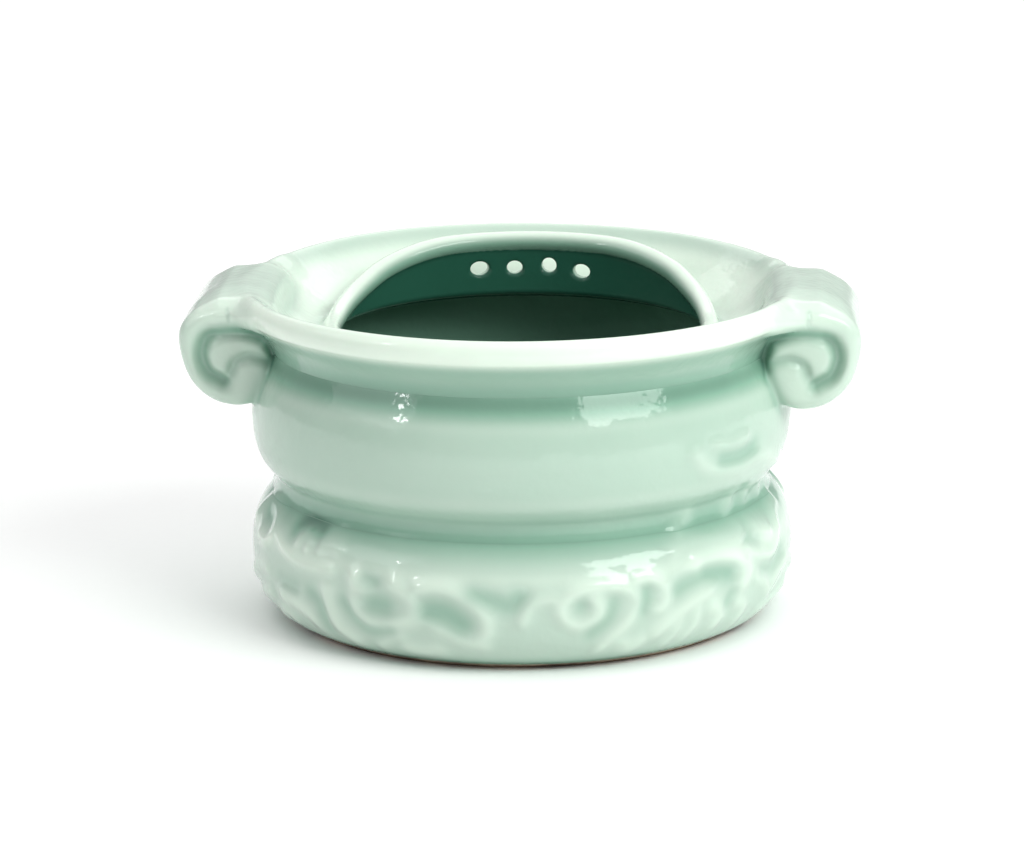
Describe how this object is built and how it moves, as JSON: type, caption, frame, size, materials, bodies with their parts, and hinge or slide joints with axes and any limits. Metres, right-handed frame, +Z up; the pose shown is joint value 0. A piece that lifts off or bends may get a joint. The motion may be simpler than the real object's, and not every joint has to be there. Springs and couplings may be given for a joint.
{
  "type": "brush pot",
  "caption": "Round celadon brush pot with a dished rim, a raised collar pierced at the back, scroll handles and moulded clouds.",
  "frame": {"origin": "centre of the foot ring, on the surface that the pot stands on", "axes": "+Z up along the pot's axis, X across the two scroll handles, +Y to the back, where the collar is high and pierced"},
  "size_m": [0.1368, 0.116, 0.0708],
  "materials": {
    "celadon_glaze": "gloss",
    "celadon_glaze_inside": "gloss",
    "biscuit_foot": "matt"
  },
  "bodies": {
    "root": {"foot_ring": "biscuit_foot", "floor_disc": "celadon_glaze_inside", "lower_section": "celadon_glaze", "upper_section": "celadon_glaze", "rim_dish": "celadon_glaze", "mouth_collar": "celadon_glaze", "left_scroll_handle": "celadon_glaze", "right_scroll_handle": "celadon_glaze"}
  },
  "joints": []
}
